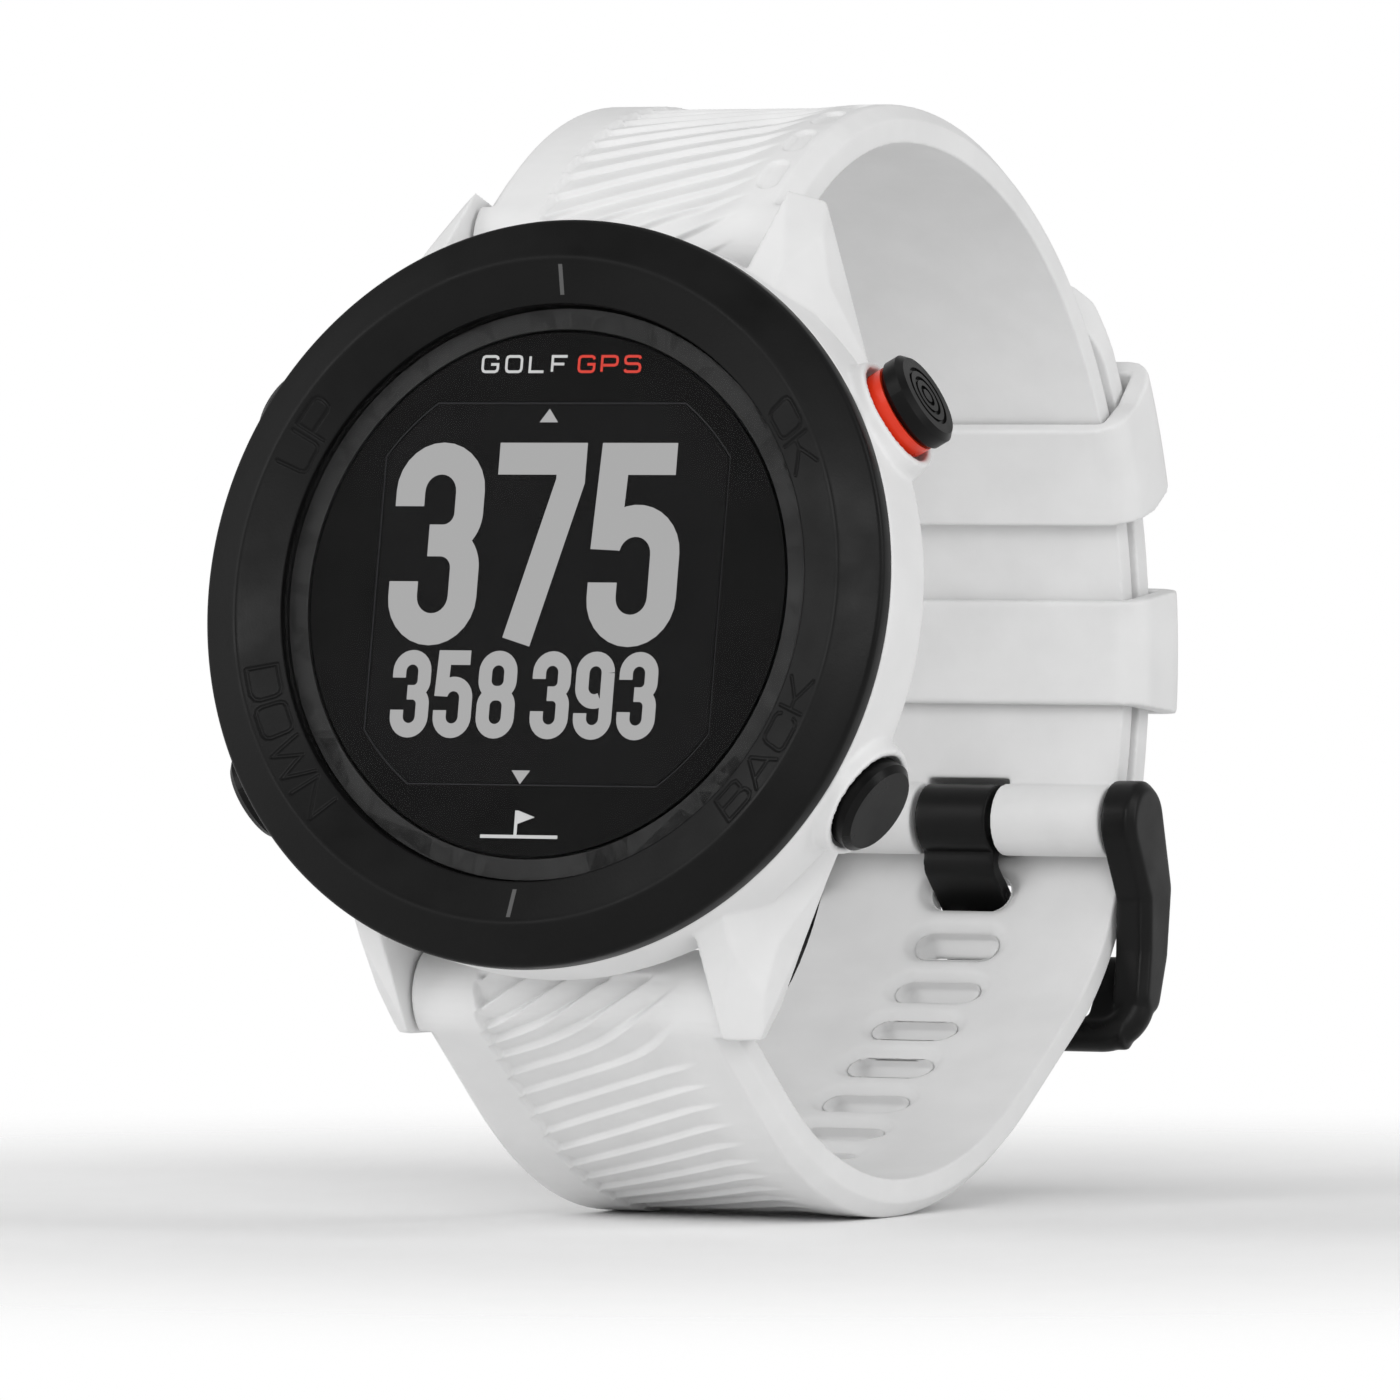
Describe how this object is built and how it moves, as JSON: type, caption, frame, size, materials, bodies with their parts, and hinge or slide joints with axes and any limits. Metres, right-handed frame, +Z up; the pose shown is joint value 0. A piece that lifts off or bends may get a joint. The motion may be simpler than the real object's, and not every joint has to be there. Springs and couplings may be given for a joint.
{
  "type": "golf gps watch",
  "caption": "Round-cased golf wristwatch with side buttons and a slotted silicone strap buckled in a loop.",
  "frame": {"origin": "centre of the lowest line of the strap loop on the surface it stands on", "axes": "+Z up, the display faces -Y and leans back 10 degrees, +X is the display's 3 o'clock side"},
  "size_m": [0.0444, 0.0688, 0.0658],
  "materials": {
    "case_polymer": "fine-textured white fibre-reinforced polymer",
    "bezel_polymer": "satin black, finely textured",
    "cover_glass": "chemically strengthened cover glass, polished",
    "display_ink": "black ink border behind the glass",
    "display": "reflective memory-in-pixel display",
    "strap_silicone": "matte white silicone",
    "buckle_metal": "satin black coated steel",
    "button_black": "satin black anodised cap",
    "button_accent": "orange-red anodised ring",
    "steel": "spring-bar stainless steel",
    "brass": "turned brass",
    "gold": "gold-plated contact",
    "seal_rubber": "black silicone seal",
    "inner_polymer": "dark grey glass-filled polymer",
    "circuit": "green solder mask",
    "cell": "silver pouch foil",
    "cover_polymer": "white polymer back plate"
  },
  "bodies": {
    "watch": {"battery": "cell", "bezel_ring": "bezel_polymer", "button_bushes": "brass", "button_springs": "steel", "buzzer": "steel", "case_body": "case_polymer", "case_gasket": "seal_rubber", "charging_contacts": "gold", "chassis": "inner_polymer", "display_mask": "display_ink", "display_panel": "display", "gps_antenna": "brass", "lens": "cover_glass", "lens_gasket": "seal_rubber", "lower_bar_spring": "steel", "lower_spring_bar": "steel", "lower_strap": "strap_silicone", "main_board": "circuit", "rear_cover": "cover_polymer", "rear_screws": "steel", "switch_domes": "steel", "upper_bar_spring": "steel", "upper_spring_bar": "steel", "upper_strap": "strap_silicone"},
    "ok_button": {"ok_button_cap": "button_black", "ok_button_seal": "seal_rubber", "ok_button_clip": "steel", "ok_button_ring": "button_accent"},
    "back_button": {"back_button_cap": "button_black", "back_button_seal": "seal_rubber", "back_button_clip": "steel"},
    "up_button": {"up_button_cap": "button_black", "up_button_seal": "seal_rubber", "up_button_clip": "steel"},
    "down_button": {"down_button_cap": "button_black", "down_button_seal": "seal_rubber", "down_button_clip": "steel"},
    "upper_bar_plunger": {"upper_bar_plunger": "steel"},
    "lower_bar_plunger": {"lower_bar_plunger": "steel"},
    "upper_keeper": {"upper_keeper": "strap_silicone"},
    "lower_keeper": {"lower_keeper": "strap_silicone"},
    "buckle_frame": {"buckle_frame": "buckle_metal", "buckle_pin": "steel"},
    "buckle_tang": {"buckle_tang": "buckle_metal"}
  },
  "joints": [
    {"name": "ok_press", "type": "slide", "parent": "watch", "child": "ok_button", "axis": [-0.866, -0.0868, -0.4924], "range_m": [0, 0.0005], "stiffness_N_per_m": 1000, "springref_m": -0.0003},
    {"name": "back_press", "type": "slide", "parent": "watch", "child": "back_button", "axis": [-0.866, 0.0868, 0.4924], "range_m": [0, 0.0005], "stiffness_N_per_m": 1000, "springref_m": -0.0003},
    {"name": "up_press", "type": "slide", "parent": "watch", "child": "up_button", "axis": [0.866, -0.0868, -0.4924], "range_m": [0, 0.0005], "stiffness_N_per_m": 1000, "springref_m": -0.0003},
    {"name": "down_press", "type": "slide", "parent": "watch", "child": "down_button", "axis": [0.866, 0.0868, 0.4924], "range_m": [0, 0.0005], "stiffness_N_per_m": 1000, "springref_m": -0.0003},
    {"name": "upper_quick_release", "type": "slide", "parent": "watch", "child": "upper_bar_plunger", "axis": [1, 0, 0], "range_m": [0, 0.0013], "stiffness_N_per_m": 700, "springref_m": -0.0005},
    {"name": "lower_quick_release", "type": "slide", "parent": "watch", "child": "lower_bar_plunger", "axis": [1, 0, 0], "range_m": [0, 0.0013], "stiffness_N_per_m": 700, "springref_m": -0.0005},
    {"name": "upper_keeper_slide", "type": "hinge", "parent": "watch", "child": "upper_keeper", "pos_m": [0, -0.0022, 0.0329], "axis": [1, 0, 0], "range_deg": [-3.5, 8]},
    {"name": "lower_keeper_slide", "type": "hinge", "parent": "watch", "child": "lower_keeper", "pos_m": [0, -0.0022, 0.0329], "axis": [1, 0, 0], "range_deg": [-4, 2.5]},
    {"name": "buckle_frame_swing", "type": "hinge", "parent": "watch", "child": "buckle_frame", "pos_m": [0, 0.02674, 0.02265], "axis": [1, 0, 0], "range_deg": [-4, 0]},
    {"name": "buckle_tang_swing", "type": "hinge", "parent": "watch", "child": "buckle_tang", "pos_m": [0, 0.02674, 0.02265], "axis": [1, 0, 0], "range_deg": [0, 4]}
  ]
}
